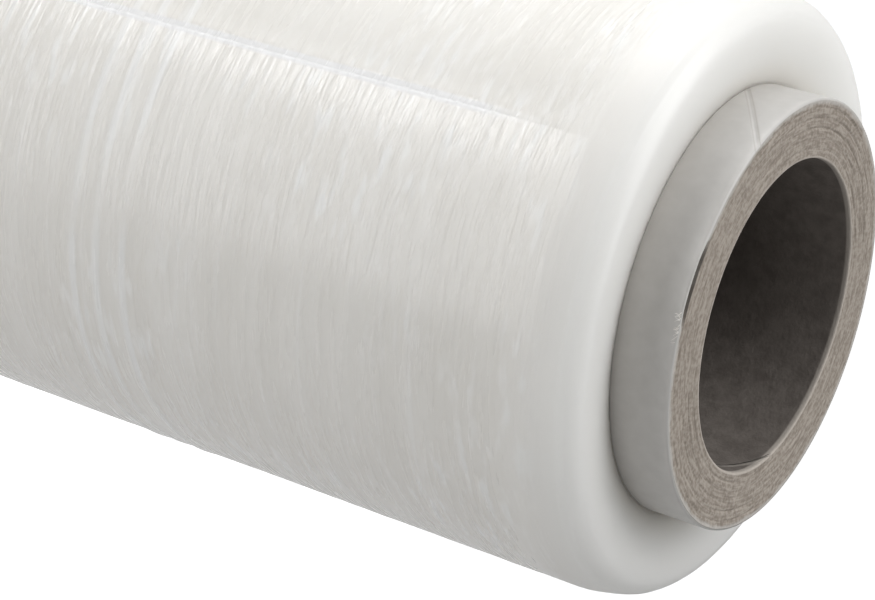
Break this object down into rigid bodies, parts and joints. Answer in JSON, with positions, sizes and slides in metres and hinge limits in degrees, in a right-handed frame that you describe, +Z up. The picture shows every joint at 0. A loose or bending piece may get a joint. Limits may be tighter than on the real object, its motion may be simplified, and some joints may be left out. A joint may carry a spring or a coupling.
{
  "type": "stretch wrap roll",
  "caption": "Roll of clear stretch film wound on a spiral paperboard tube that stands out a little at both ends.",
  "frame": {"origin": "centre of the tube's lower end, on the roll's axis, in the plane that the roll stands on", "axes": "+Z up the roll's axis; the film's free end lies at about -110 degrees round +Z from +X"},
  "size_m": [0.1006, 0.1006, 0.516],
  "materials": {
    "paperboard": "matt grey paperboard, paler smooth paper outside",
    "stretch_film": "milky translucent wound film, glossy"
  },
  "bodies": {
    "root": {"paperboard_core": "paperboard", "film_roll": "stretch_film"}
  },
  "joints": []
}
